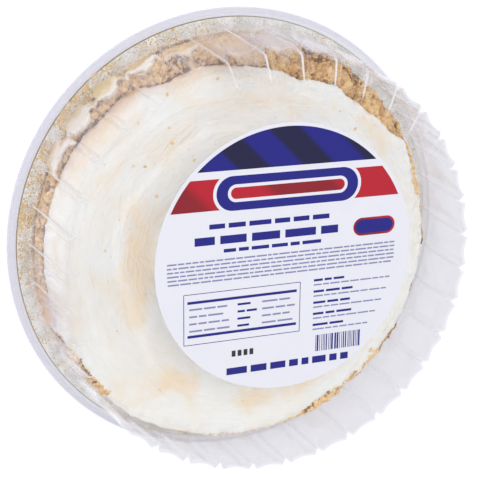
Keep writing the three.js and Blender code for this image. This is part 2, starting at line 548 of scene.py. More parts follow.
def mixed_value(tree, share, first, second):
    feeds = {0: share, 2: first, 3: second}
    return fed_node(tree, "ShaderNodeMix", {"data_type": "FLOAT"}, feeds).outputs[0]


def mixed_shader(tree, share, first, second):
    return fed_node(tree, "ShaderNodeMixShader", {}, {0: share, 1: first, 2: second}).outputs[0]


def ramp(tree, source, stops):
    """A colour ramp with (place, colour) stops."""
    made = add_node(tree, "ShaderNodeValToRGB", links={"Fac": source})
    band = made.color_ramp
    while len(band.elements) < len(stops):
        band.elements.new(0.5)
    for element, (place, colour) in zip(band.elements, stops):
        element.position = place
        element.color = colour
    return made.outputs["Color"]


def painted(tree, name):
    """A number that paint() has stored at the vertices."""
    return add_node(tree, "ShaderNodeAttribute", {"attribute_name": name}).outputs["Fac"]


def new_material(name):
    """A material without a surface yet, its node tree and the place of each of its points."""
    material = bpy.data.materials.new(name)
    material.use_nodes = True
    tree = material.node_tree
    tree.nodes.clear()
    return material, tree, add_node(tree, "ShaderNodeTexCoord").outputs["Object"]


def surface(tree, shader):
    add_node(tree, "ShaderNodeOutputMaterial", links={"Surface": shader})


def principled(tree, settings, links):
    surface(tree, add_node(tree, "ShaderNodeBsdfPrincipled", settings, links).outputs[0])


def split_place(tree, place):
    """A place's height, and its level part, which starts at the pie's axis."""
    apart = add_node(tree, "ShaderNodeSeparateXYZ", links={"Vector": place}).outputs
    level = add_node(tree, "ShaderNodeCombineXYZ", links={"X": apart["X"], "Y": apart["Y"]}).outputs[0]
    return apart["Z"], level


def foil_material(settings):
    """Rolled aluminium foil: a bright cool grey metal, softly blurred by the rolling marks, with
    a thin dark brown line along the rolled edge."""
    material, tree, place = new_material("aluminium_foil_rolled")
    height, level = split_place(tree, place)
    mottle = noise(tree, place, 9, detail=4, roughness=0.6)
    speck = noise(tree, place, 0.9, roughness=0.7)
    grain = mixed_value(tree, 0.6, mottle, speck)
    base = ramp(tree, grain, [(0.42, settings.foil_dark), (0.56, settings.foil_bright)])
    edge = remap(tree, measure(tree, "LENGTH", level), RIM_RADIUS - 0.7 * MM, RIM_RADIUS - 0.3 * MM)
    # The colour, with a thin dark brown line along the rolled edge
    baked = mixed_colour(tree, edge, base, settings.brown_edge_line)
    bright = remap(tree, edge, 0, 1, 0.35, 0.2)
    # Under the rim the foil is bare and brighter, and painted shade darkens it down in the folds
    under = remap(tree, height, RIM - 0.8 * MM, RIM - 2 * MM)
    folded = mixed_colour(tree, painted(tree, "fold"), settings.foil_bright, settings.fold_painted_shade)
    crinkle = noise(tree, place, 2.2, detail=3)
    links = {
        "Base Color": mixed_colour(tree, under, baked, folded),
        "Roughness": remap(tree, under, 0, 1, 0.45, 0.3),
        "Metallic": figure(tree, "MULTIPLY_ADD", under, 0.5, bright),
        "Normal": bump(tree, crinkle, 0.35, 0.3 * MM),
    }
    principled(tree, {}, links)
    return material


def crumb_material(name, colours, grain_size):
    """Baked cracker crumb pressed with butter: dull golden brown, darker in its pores and paler on
    its broken corners, with the painted shade and light of its tone. Its colours are those of
    the pores and painted shade, of most crumb and of the corners and painted light."""
    material, tree, place = new_material(name)
    blotch = noise(tree, place, 5, detail=5, roughness=0.65)
    grit = noise(tree, place, grain_size, detail=4, roughness=0.7)
    spread = remap(tree, mixed_value(tree, 0.5, blotch, grit), 0.32, 0.68, -0.3, 0.3)
    level = figure(tree, "ADD", painted(tree, "tone"), spread, clamp=True)
    colour = ramp(tree, level, list(zip((0.05, 0.5, 1.0), colours)))
    broken = bump(tree, grit, 0.6, 0.5 * MM)
    principled(tree, {"Roughness": 0.85, "IOR": 1.45}, {"Base Color": colour, "Normal": broken})
    return material


def topping_material(settings):
    """Whipped topping: a pale cream that light sinks into, with a soft sheen and tan patches where
    it has dried and taken colour."""
    material, tree, place = new_material("whipped_topping_spread")
    # A tan patch ends where the noise falls below it, so its outline is uneven
    blotch = noise(tree, place, 24, detail=5, roughness=0.6, distortion=0.8)
    dried = figure(tree, "MULTIPLY_ADD", blotch, 1.4, painted(tree, "toast"))
    patch = remap(tree, dried, 0.74, 1.3, 0, 0.9)
    cloud = noise(tree, place, 38, detail=4, roughness=0.55)
    tan = figure(tree, "ADD", patch, remap(tree, cloud, 0.42, 0.68, 0, 0.3), clamp=True)
    tinted = mixed_colour(tree, tan, settings.cream, settings.toasted)
    uneven = remap(tree, blotch, 0.3, 0.6, 0.35, 1)
    stain = product(tree, painted(tree, "stain"), uneven)
    stained = mixed_colour(tree, stain, tinted, settings.stained)
    # Streaks follow the spatula round the pie: long round the axis, narrow across it
    _, level = split_place(tree, place)
    round_it = vector(tree, "SCALE", vector(tree, "NORMALIZE", level), Scale=90 * MM)
    narrow = product(tree, measure(tree, "LENGTH", level), 3.5)
    lift = add_node(tree, "ShaderNodeCombineXYZ", links={"Z": narrow}).outputs[0]
    sweep = vector(tree, "ADD", round_it, lift)
    streak = noise(tree, sweep, 22, detail=3, distortion=2.2)
    # Painted shade: the colour darkens a little in the streaks' hollows
    painted_light_share = remap(tree, streak, 0.3, 0.7, 0.97, 1)
    pores = bump(tree, noise(tree, place, 1.6, detail=3), 0.25, 0.25 * MM)
    swept = bump(tree, streak, 0.6, 1.5 * MM, pores)
    strokes = bump(tree, noise(tree, place, 9, detail=3, distortion=0.6), 0.35, 1.2 * MM, swept)
    soft = {
        "Roughness": 0.5,
        "IOR": 1.42,
        "Subsurface Weight": 0.25,
        "Subsurface Radius": (1.0, 0.8, 0.6),
        "Subsurface Scale": 2 * MM,
    }
    principled(tree, soft, {"Base Color": vector(tree, "SCALE", stained, Scale=painted_light_share), "Normal": strokes})
    return material


def flute_nodes(tree, place):
    """The same two numbers as flute(): 1 in a groove's middle, and 1 in a hollow panel's middle."""
    apart = add_node(tree, "ShaderNodeSeparateXYZ", links={"Vector": place}).outputs
    turn = figure(tree, "ARCTAN2", apart["Y"], apart["X"])
    start = FLUTES - FLUTE_PHASE * FLUTES / TURN
    flutes = figure(tree, "MULTIPLY_ADD", turn, FLUTES / TURN, start)
    from_groove = figure(tree, "PINGPONG", flutes, 0.5)
    groove = remap(tree, from_groove, GROOVE_HALF, 0)
    across = remap(tree, from_groove, GROOVE_HALF, 0.5, 0, math.pi / 2)
    return groove, figure(tree, "SINE", across)


def reflected_patches(tree, panel, unit, height, haze):
    """How much of the sheet the painted reflections hide, and the sheet's haze with their colours over it.
    """
    reflection_cover = 0.0
    for middle, low_side, low_middle, high_side, high_middle, strength, tide, lower, upper in PAINTED_REFLECTIONS:
        facing_it = measure(tree, "DOT_PRODUCT", unit, level_direction(middle))
        near = remap(tree, facing_it, *REFLECTION_EDGE)
        at_side = RIM + (low_side + high_side) / 2 * MM
        at_middle = RIM + (low_middle + high_middle) / 2 * MM
        half = remap(tree, panel, 0, 1, (high_side - low_side) / 2 * MM, (high_middle - low_middle) / 2 * MM)
        over = figure(tree, "SUBTRACT", height, remap(tree, panel, 0, 1, at_side, at_middle))
        level = figure(tree, "DIVIDE", over, half)
        body = window(tree, level, 0, 0.72, 0.5)
        thick = remap(tree, level, -0.9, 0.1, 0.6 * strength, strength)
        high = remap(tree, level, tide - 0.15, tide + 0.35)
        tinted = mixed_colour(tree, high, linear(lower), linear(upper))
        haze = mixed_colour(tree, product(tree, body, near), haze, tinted)
        reflection_cover = figure(tree, "MAXIMUM", product(tree, body, near, thick), reflection_cover)
    return reflection_cover, haze


def groove_highlights(tree, reach, unit, height):
    """Painted highlights: white lines along the grooves for the light that they catch. They run up
    the wall, strongest on the highlit sides, and fade out where they cross the shoulder."""
    groove = painted(tree, "groove")
    # Painted highlight: a white line along each groove, a fainter one at its sides
    valley = remap(tree, groove, 0.78, 0.92)
    lines = figure(tree, "MAXIMUM", valley, product(tree, window(tree, groove, 0.12, 0.05, 0.05), 0.3))
    slope_facing = measure(tree, "DOT_PRODUCT", unit, SLOPE_HIGHLIGHT_SIDE)
    wall_facing = measure(tree, "DOT_PRODUCT", unit, WALL_HIGHLIGHT_SIDE)
    risen = remap(tree, height, RIM + 2 * MM, RIM + 6 * MM)
    upright = remap(tree, height, SHOULDER + 1.5 * MM, SHOULDER - 3 * MM)
    slope_end = remap(tree, reach, RING_RADIUS + 4 * MM, RING_RADIUS + 9 * MM)
    on_slope = product(tree, remap(tree, slope_facing, 0.72, 0.88), slope_end)
    on_wall = product(tree, remap(tree, wall_facing, 0.85, 0.95, 0.22, 0.8), upright)
    return product(tree, lines, risen, figure(tree, "MAXIMUM", on_slope, on_wall))


def clear_sheet_material(settings):
    """Clear polyester sheet, thermoformed: see-through, with a milky bloom where the wall was
    stretched, sharp grazing reflections and slight ripples left by the forming, and with
    painted highlights in the grooves, a painted edge-on grey lip and painted reflections."""
    material, tree, place = new_material("clear_polyester_thermoformed")
    height, level = split_place(tree, place)
    reach, unit = measure(tree, "LENGTH", level), vector(tree, "NORMALIZE", level)
    # 0 on the flat top, 1 on the stretched wall and on the rim
    stretched = remap(tree, reach, SHOULDER_RADIUS - 6 * MM, SHOULDER_RADIUS - 3 * MM)
    tint = mixed_colour(tree, stretched, settings.tint, settings.wall_tint)
    clear = add_node(tree, "ShaderNodeBsdfTransparent", {}, {"Color": tint}).outputs[0]
    wisp = remap(tree, noise(tree, place, 26, detail=3, distortion=1.2), 0.35, 0.7, 0.4, 1.6)
    milk = product(tree, remap(tree, stretched, 0, 1, settings.bloom * 0.25, settings.bloom), wisp)
    highlight_lines = groove_highlights(tree, reach, unit, height)
    # The lip hangs edge-on round the rim and looks grey: painted grey and milky on the camera's side
    lip = remap(tree, reach, LID_RADIUS - 3.2 * MM, LID_RADIUS - 2.6 * MM)
    lip_facing = measure(tree, "DOT_PRODUCT", unit, LIP_PAINTED_SIDE)
    painted_light_share = remap(tree, lip_facing, -0.45, 0.1, 0.1, 1)
    # Painted reflections on the panels, their edges wandering with a noise
    edge_wander = noise(tree, place, 7, detail=3)
    wandered = figure(tree, "ADD", height, remap(tree, edge_wander, 0.3, 0.7, -4 * MM, 4 * MM))
    reflection_cover, haze = reflected_patches(tree, painted(tree, "panel"), unit, wandered, settings.bloom_colour)

    # Painted highlights along the grooves and the lip's painted edge-on grey go over the haze
    lined = mixed_colour(tree, highlight_lines, haze, settings.crease_highlight_colour)
    milky = mixed_colour(tree, lip, lined, settings.lip_colour)
    lit = add_node(tree, "ShaderNodeBsdfDiffuse", {}, {"Color": milky}).outputs[0]
    backlit = add_node(tree, "ShaderNodeBsdfTranslucent", {}, {"Color": milky}).outputs[0]
    bloom = mixed_shader(tree, 0.35, lit, backlit)
    cloudy = milk
    line = product(tree, highlight_lines, settings.crease_highlight_share)
    rolled = product(tree, lip, painted_light_share, settings.lip_bloom)
    for source in (line, rolled, reflection_cover):
        cloudy = figure(tree, "MAXIMUM", cloudy, source)

    rippled = bump(tree, noise(tree, place, 14, distortion=0.4), 0.5, 0.6 * MM)
    shiny = {"Color": (1, 1, 1, 1), "Roughness": 0.05}
    gloss = add_node(tree, "ShaderNodeBsdfGlossy", shiny, {"Normal": rippled}).outputs[0]
    # The share that a face reflects, the same from both of its sides: 1 - cosine to the fifth power
    facing = add_node(tree, "ShaderNodeLayerWeight", {"Blend": 0.5}, {"Normal": rippled}).outputs["Facing"]
    grazing = remap(tree, figure(tree, "POWER", facing, 5), 0, 1, 0.03, 0.55)
    surface(tree, mixed_shader(tree, grazing, mixed_shader(tree, cloudy, clear, bloom), gloss))
    return material


def paper_material(settings):
    """Coated label paper: a cool off-white with a low satin sheen and faint fibre mottling."""
    material, tree, place = new_material("coated_label_paper")
    fibre = noise(tree, place, 18, detail=6, roughness=0.6)
    colour = ramp(tree, fibre, [(0.3, settings.paper), (0.75, settings.paper_light)])
    principled(tree, {"Roughness": 0.45, "IOR": 1.5}, {"Base Color": colour})
    return material


def ink_material(name, light, deep, stripe_width=None):
    """Printing ink on coated paper: a saturated satin film, with broad slanted bands of two
    strengths where stripe_width (mm) is given."""
    material, tree, place = new_material(name)
    if stripe_width:
        bands = {"Scale": per_mm(stripe_width) / 20 * TURN, "bands_direction": "DIAGONAL"}
        fade = add_node(tree, "ShaderNodeTexWave", bands, {"Vector": place}).outputs["Fac"]
    else:
        fade = noise(tree, place, 2)
    colour = ramp(tree, fade, [(0.35, deep), (0.65, light)])
    principled(tree, {"Roughness": 0.5, "IOR": 1.5}, {"Base Color": colour})
    return material


def floor_material(settings):
    """Opal acrylic light table: plain and pale, white round the pie, with a painted shadow under it where it
    glows less.
    """
    material, tree, place = new_material("opal_acrylic_light_table")
    near_middle = level_direction(DIM_BEARING) * DIM_NEAR
    far_middle = level_direction(DIM_BEARING) * DIM_FAR
    # The far disc of painted shadow has the outline of the lid's fluted wall, spread by the look through it
    groove, panel = flute_nodes(tree, vector(tree, "SUBTRACT", place, far_middle))
    from_far = measure(tree, "DISTANCE", place, far_middle)
    inset = figure(tree, "MULTIPLY_ADD", groove, 1.2 * GROOVE_DEPTH * DIM_SPREAD, from_far)
    scalloped = figure(tree, "MULTIPLY_ADD", panel, PANEL_BOW * DIM_SPREAD, inset)
    past_far = figure(tree, "SUBTRACT", scalloped, SHOULDER_RADIUS * DIM_SPREAD)
    past_near = figure(tree, "SUBTRACT", measure(tree, "DISTANCE", place, near_middle), DIM_NEAR_RADIUS)
    past = figure(tree, "MINIMUM", past_far, past_near)
    glow = remap(tree, past, -1.2 * MM, 0.1 * MM, settings.painted_shadow_glow, settings.surround_glow)
    matt = {"Roughness": 0.9, "Base Color": settings.floor, "Emission Color": settings.floor_light}
    principled(tree, matt, {"Emission Strength": glow})
    return material


# ---------------------------------------------------------------- settings


def size_property(name, description, default):
    return bpy.props.FloatProperty(
        name=name, description=description, default=default, subtype="DISTANCE", unit="LENGTH"
    )


def colour_property(name, description, default):
    return bpy.props.FloatVectorProperty(
        name=name, description=description, default=default, size=4, min=0, max=1, subtype="COLOR"
    )


class PanSettings(bpy.types.PropertyGroup):
    foil: size_property("Foil", "Thickness of the pan's wall", 0.5 * MM)
    crimps: bpy.props.IntProperty(name="Crimps", description="Folds round the pan's wall", default=120)
    crimp_depth: size_property("Crimp depth", "Depth of a fold in the wall", 1.3 * MM)
    # Painted shade: the colour of the foil down in a fold
    fold_painted_shade: colour_property("Fold shade", "Foil deep in a fold", linear("#8f9190"))
    foil_dark: colour_property("Foil shade", "Duller parts of the foil", linear("#d2d3d0"))
    foil_bright: colour_property("Foil light", "Brighter parts of the foil", linear("#ffffff"))
    # A thin dark brown line along the rolled edge
    brown_edge_line: colour_property("Baked edge", "Brown on the rolled edge", linear("#8a6a3e"))


class CrustSettings(bpy.types.PropertyGroup):
    grit: size_property("Grit", "Depth of the crust's broken surface", 1.6 * MM)
    # Each kind of crumb's pore colour is also its painted shade, and its pale colour its painted light
    dark: colour_property("Pores", "Deep and well baked crumb", linear("#7e562b"))
    golden: colour_property("Golden", "Most of the crumb", linear("#dfb37b"))
    pale: colour_property("Pale", "Broken corners", linear("#f2d6a2"))
    sifted_dark: colour_property("Sifted pores", "Pores of the fine rim crumb", linear("#ab8342"))
    sifted: colour_property("Sifted", "Most of the fine rim crumb", linear("#e4c07a"))
    sifted_pale: colour_property("Sifted pale", "Corners of the fine rim crumb", linear("#f2deaa"))
    creamed_dark: colour_property("Creamed pores", "Pores of crumb on the topping", linear("#dcb272"))
    creamed: colour_property("Creamed", "Most of the crumb on the topping", linear("#eaca90"))
    creamed_pale: colour_property("Creamed pale", "Corners of crumb on the topping", linear("#f2deb4"))


class ToppingSettings(bpy.types.PropertyGroup):
    relief: size_property("Relief", "Depth of the fine spatula marks", 0.8 * MM)
    stroke: size_property("Stroke", "Height of the steps left by the spatula's edge", 1.5 * MM)
    cream: colour_property("Cream", "Fresh topping", linear("#efefec"))
    toasted: colour_property("Toasted", "Dried, tan topping", linear("#f0dec3"))
    stained: colour_property("Stained", "Topping that crumb has stained", linear("#d6a778"))


class LidSettings(bpy.types.PropertyGroup):
    sheet: size_property("Sheet", "Thickness of the lid's wall", 0.6 * MM)
    bloom: bpy.props.FloatProperty(
        name="Bloom", description="Milky share of the wall", default=0.035, min=0, max=1, subtype="FACTOR"
    )
    # Painted highlight: the white lines' share along the grooves
    crease_highlight_share: bpy.props.FloatProperty(
        name="Crease bloom", description="Milky share along a groove", default=0.85, min=0, max=1
    )
    # Painted: the lip's grey, milky look edge-on, on the side towards the camera
    lip_bloom: bpy.props.FloatProperty(
        name="Lip bloom", description="Milky share of the lip", default=0.55, min=0, max=1
    )
    bloom_colour: colour_property("Bloom colour", "Colour of the milkiness", linear("#e6e6ee"))
    # Painted highlight: the colour of the white lines along the grooves
    crease_highlight_colour: colour_property("Crease colour", "Colour of the grooves' lines", linear("#f3f1ef"))
    lip_colour: colour_property("Lip colour", "Colour of the lip seen edge-on", linear("#e4e4ee"))
    tint: colour_property("Tint", "What the flat top lets through", linear("#fefefe"))
    wall_tint: colour_property("Wall tint", "What each face of the wall lets through", linear("#fdfdfd"))


class LabelSettings(bpy.types.PropertyGroup):
    paper_thickness: size_property("Paper", "Thickness of the label", 0.3 * MM)
    ink_thickness: size_property("Ink", "How far the print stands proud", 0.04 * MM)
    paper: colour_property("Paper shade", "Coated paper", linear("#d6d7df"))
    paper_light: colour_property("Paper light", "Lighter fibres", linear("#dadae2"))
    navy: colour_property("Navy", "Main ink", linear("#101278"))
    navy_deep: colour_property("Deep navy", "Darker bands of the main ink", linear("#0b0838"))
    red: colour_property("Red", "Second ink", linear("#ac0c24"))
    red_deep: colour_property("Deep red", "Darker second ink", linear("#820d1e"))
    grey: colour_property("Grey", "Fine lines", linear("#7f80a8"))
    black: colour_property("Black", "Stamped marks", linear("#26262c"))


class StudioSettings(bpy.types.PropertyGroup):
    floor: colour_property("Floor", "Colour of the floor", linear("#b8b8bd"))
    floor_light: colour_property("Floor light", "Colour of the light in the floor", linear("#e8e8f0"))
    # Painted shadow: the floor's dimmer glow under the lid
    painted_shadow_glow: bpy.props.FloatProperty(
        name="Floor glow", description="Light that the floor gives off under the pie", default=0.385, min=0
    )
    surround_glow: bpy.props.FloatProperty(
        name="Surround glow", description="Light that the floor gives off round the pie", default=0.75, min=0
    )
    sky: colour_property("Sky", "Light from all round", linear("#fbfbfd"))
    sky_strength: bpy.props.FloatProperty(
        name="Sky strength", description="Brightness of the light from all round", default=0.78, min=0
    )


# ---------------------------------------------------------------- operators


class PIE_OT_stage(bpy.types.Operator):
    """Sets the camera, the floor, the lights and the sky"""

    bl_idname = "pie.stage"
    bl_label = "Stage"

    def execute(self, context):
        settings = context.scene.pie_studio
        scene = context.scene
        lens = bpy.data.cameras.new("camera")
        lens.lens = CAMERA_LENS
        lens.sensor_width = 36
        lens.clip_start = 0.01
        lens.clip_end = 20
        camera = bpy.data.objects.new("camera", lens)
        scene.collection.objects.link(camera)
        right = CAMERA_FORWARD.cross(CAMERA_UP).normalized()
        up = right.cross(CAMERA_FORWARD).normalized()
        turn = Matrix((right, up, -CAMERA_FORWARD.normalized())).transposed()
        camera.matrix_world = Matrix.Translation(CAMERA_PLACE) @ turn.to_4x4()
        scene.camera = camera

        deselect_all()
        bpy.ops.mesh.primitive_plane_add(size=6, location=(0, 0, 0))
        floor = named("floor")
        floor.data.materials.append(floor_material(settings))

        world = bpy.data.worlds.new("studio")
        world.use_nodes = True
        sky = world.node_tree.nodes["Background"]
        sky.inputs["Color"].default_value = settings.sky
        sky.inputs["Strength"].default_value = settings.sky_strength
        scene.world = world
        aim = Vector((0, 0, RIM))
        for name, place, width, power in LAMPS:
            light = bpy.data.lights.new(name, "AREA")
            light.shape = "DISK"
            light.size = width
            light.energy = power
            lamp = bpy.data.objects.new(name, light)
            scene.collection.objects.link(lamp)
            lamp.location = place
            lamp.visible_glossy = False
            lamp.rotation_mode = "QUATERNION"
            lamp.rotation_quaternion = (aim - Vector(place)).to_track_quat("-Z", "Y")
        scene.cycles.transparent_max_bounces = CLEAR_FACES
        scene.view_settings.view_transform = "Standard"
        scene.view_settings.look = "None"
        return {"FINISHED"}


class PIE_OT_foil_pan(bpy.types.Operator):
    """Turns the foil pan with its folded wall and rolled rim"""

    bl_idname = "pie.foil_pan"
    bl_label = "Foil pan"

    STEPS = 8  # round one fold
    ROLL = 1.2 * MM  # radius of the rolled edge
    MOUTH = 118.5 * MM
    BASE = 97 * MM

    def execute(self, context):
        settings = context.scene.pie_pan
        foil, roll, mouth, base = settings.foil, self.ROLL, self.MOUTH, self.BASE
        # The rim is rolled outwards and under, from its top three quarters of the way round
        turns = [math.radians(90 - k * 27) for k in range(11)]
        arc = [(RIM_RADIUS - roll + roll * math.cos(t), RIM - roll + roll * math.sin(t)) for t in turns]
        inside = points_between(
            [(0, foil), (base - 1 * MM, foil), (base + 2 * MM, 1.8 * MM), (mouth - 0.4 * MM, RIM - 1 * MM)],
            [6, 3, 16],
        )
        rim = points_between([(mouth + 0.4 * MM, RIM), (RIM_RADIUS - roll - 0.2 * MM, RIM)], [8])
        under = [(RIM_RADIUS - 2 * roll, RIM - foil - 0.1 * MM), (mouth + 0.8 * MM, RIM - foil)]
        outside = points_between(
            [(mouth + 0.2 * MM, RIM - 1.2 * MM), (base + 3 * MM, 1.5 * MM), (base, 0), (0, 0)], [16, 3, 6]
        )
        profile = inside + rim + arc + under + outside

        def outline(angle):
            # Folds grow up the wall from the base, and fine ticks run across the flat rim
            fold = np.cos(settings.crimps * angle) * settings.crimp_depth / 2
            tick = np.cos(3 * settings.crimps * angle + 1.3 * np.sin(29 * angle)) * 0.12 * MM
            made = []
            for radius, height in profile:
                on_wall = base + 2.5 * MM < radius < mouth + 1 * MM and height < RIM - 0.5 * MM
                on_rim = radius > mouth + 1 * MM and height >= RIM - 0.02 * MM
                share = min(1, (height - 1.5 * MM) / (8 * MM)) if on_wall else 0
                lift = -np.abs(tick) if on_rim else 0
                made.append((radius - share * (fold + settings.crimp_depth / 2), height + lift))
            return made

        piece = turned("foil_pan_folded", len(profile), settings.crimps * self.STEPS, outline)
        places = corners(piece)
        _, angle = polar(places)
        folded = np.clip((places[:, 2] - 1.5 * MM) / (8 * MM), 0, 1)
        # Painted shade in the folds: 1 deep in each fold, growing with the folds up the wall
        paint(piece, "fold", folded * (0.5 + 0.5 * np.cos(settings.crimps * angle)) ** 1.5)
        smooth(piece, 50)
        finish_piece(piece, foil_material(settings), "foil_pan")
        return {"FINISHED"}


class PIE_OT_crust(bpy.types.Operator):
    """Presses the crumb crust into the pan, with its broken edge"""

    bl_idname = "pie.crust"
    bl_label = "Crust"

    STEPS = (3, 2, 10, 5, 18, 22, 4, 5)  # along each stretch of the outline
    AROUND = 960

    def execute(self, context):
        settings = context.scene.pie_crust

        def outline(angle):
            rise = crust_rise(angle)
            pocket = crust_pockets(angle)
            lip = topping_radius(angle)
            wall_top = CRUST_RADIUS - 0.6 * MM - CRUST_POCKET * pocket
            shoulder = RIM + rise - 1 * MM - 3 * MM * pocket
            keys = [
                (0, 1.1 * MM),
                (96 * MM, 1.1 * MM),
                (98.8 * MM, 2.2 * MM),
                (CRUST_RADIUS - 0.4 * MM, RIM - 1 * MM),
                (CRUST_RADIUS, RIM + 2 * MM),
                (wall_top, shoulder),
                (lip - 5 * MM, RIM + rise),
                (lip - 9 * MM, CRUST_CORE),
                (0, CRUST_CORE),
            ]
            return points_between(keys, self.STEPS)

        piece = turned("crust_pressed", 1 + sum(self.STEPS), self.AROUND, outline)
        places = corners(piece)
        reach, angle = polar(places)
        bare = np.clip((places[:, 2] - RIM - 0.5 * MM) / (3 * MM), 0, 1) * (reach > 90 * MM)
        normals = np.empty(len(places) * 3)
        piece.data.vertices.foreach_get("normal", normals)
        normals = normals.reshape(-1, 3)
        roughen(piece, 9 * MM, settings.grit * 2.6, bare, detail=1, middle=0.6)
        roughen(piece, 3.6 * MM, -settings.grit * 1.5, bare, kind="VORONOI", middle=0.35)
        roughen(piece, 1.5 * MM, settings.grit * 0.8, bare, detail=1)
        # Painted shade and light: pores and pockets darker, what stands out paler, upright faces paler too
        raised = np.sum((corners(piece) - places) * normals, axis=1)
        deep = crust_pockets(angle) * np.clip((reach - 104 * MM) / (6 * MM), 0, 1)
        upright = 1 - np.abs(normals[:, 2])
        paint(piece, "tone", np.clip(0.5 - 0.45 * deep + raised / (1.8 * MM) + 0.3 * upright, 0, 1))
        smooth(piece)
        colours = (settings.dark, settings.golden, settings.pale)
        material = crumb_material("cracker_crumb_pressed", colours, 1.4)
        finish_piece(piece, material, "crust")
        return {"FINISHED"}


class PIE_OT_topping(bpy.types.Operator):
    """Spreads the whipped topping, with the swirls of the spatula"""

    bl_idname = "pie.topping"
    bl_label = "Topping"

    UNDER_STEPS = (4, 3, 3, 5)  # along each stretch of the outline under its brow
    EDGE_RINGS = 12
    MIDDLE_RINGS = 76
    AROUND = 720
    BROW_INSET = 12 * MM
    BROW_DROP = 1.4 * MM
    # Tan patches: (angle in degrees, radius in mm, half width in degrees, half width in mm, strength)
    PATCHES = (
        (176, 64, 40, 18, 0.7),
        (204, 76, 24, 15, 0.5),
        (147, 92, 10, 9, 0.4),
        (128, 78, 18, 16, 0.35),
        (108, 105, 16, 9, 0.45),
        (-118, 88, 18, 13, 0.6),
        (-88, 95, 18, 12, 0.6),
        (-65, 96, 15, 10, 0.55),
        (-40, 96, 16, 9, 0.35),
        (146, 110, 22, 9, 0.5),
        (178, 110, 14, 5, 0.35),
        (84, 84, 24, 12, 0.3),
        (40, 98, 20, 10, 0.3),
        (10, 98, 34, 12, 0.3),
    )

    def execute(self, context):
        settings = context.scene.pie_topping
        foot = TOPPING_EDGE - 3 * MM

        def outline(angle):
            lip = topping_radius(angle)
            rise = crust_rise(angle)
            piled = hump(angle, *PILED_SIDE)
            keys = [
                (0, CRUST_CORE + 0.3 * MM),
                (lip - 9.4 * MM, CRUST_CORE + 0.3 * MM),
                (lip - 5.4 * MM, RIM + rise + 0.3 * MM),
                (lip - 1 * MM, RIM + rise + 0.3 * MM),
                (lip, foot),
            ]
            made = points_between(keys, self.UNDER_STEPS)
            # The edge rounds over to the brow, and the crown rises from there to the middle
            brow = TOPPING_TOP - self.BROW_DROP
            for k in range(1, self.EDGE_RINGS + 1):
                turn = math.pi / 2 * k / self.EDGE_RINGS
                radius = lip - self.BROW_INSET * (1 - math.cos(turn))
                rounded = (brow - TOPPING_EDGE + 3 * MM) * math.sin(turn) ** (0.9 - 0.35 * piled)
                relief = swirl(radius, angle) * 0.7 * (k / self.EDGE_RINGS) ** 2
                heap = 1.5 * MM * piled * math.sin(turn) ** 2 * math.cos(turn)
                made.append((radius, foot + rounded + relief + heap))
            for k in range(1, self.MIDDLE_RINGS + 1):
                radius = lip * ((1 - self.BROW_INSET / lip) * (1 - k / self.MIDDLE_RINGS))
                outwards = np.clip(radius / (lip - self.BROW_INSET), 0, 1)
                crown = TOPPING_TOP - self.BROW_DROP * outwards**1.6
                weight = 0.7 + 0.3 * min(1, k / 10)
                mark = settings.stroke * stroke(radius, angle) * min(1, k / 6)
                made.append((radius, crown + weight * swirl(radius, angle) + mark))
            return made

        rings = 1 + sum(self.UNDER_STEPS) + self.EDGE_RINGS + self.MIDDLE_RINGS
        piece = turned("topping_spread", rings, self.AROUND, outline)
        places = corners(piece)
        upper = np.clip((places[:, 2] - TOPPING_EDGE + 1 * MM) / (3 * MM), 0, 1)
        roughen(piece, 24 * MM, settings.relief * 3.2, upper, detail=1)
        roughen(piece, 7 * MM, settings.relief * 0.8, upper, detail=2)
        reach, angle = polar(places)
        past = reach - topping_radius(angle)
        brink = np.clip((past + 11 * MM) / (6 * MM), 0, 1) * (places[:, 2] > RIM + 8 * MM)
        roughen(piece, 8 * MM, settings.relief * 4.5, brink, detail=2, middle=0.55)
        roughen(piece, 2.4 * MM, settings.relief * 1.4, brink, detail=1)
        reach, angle = polar(corners(piece))
        toast = np.zeros(len(reach))
        for centre, radius, width, depth, strength in self.PATCHES:
            across = np.clip(np.abs(reach - radius * MM) / (depth * MM), 0, 1)
            toast += strength * hump(angle, centre, width) * (1 + np.cos(math.pi * across)) / 2
        paint(piece, "toast", np.clip(toast, 0, 1))
        # Crumb has stained the brink where it lies against it
        inwards = topping_radius(angle) - reach
        near_edge = np.clip(1 - (inwards + 1 * MM) / (8 * MM), 0, 1) ** 1.6
        paint(piece, "stain", hump(angle, *STAINED_SIDE) * near_edge)
        smooth(piece)
        finish_piece(piece, topping_material(settings), "topping")
        return {"FINISHED"}


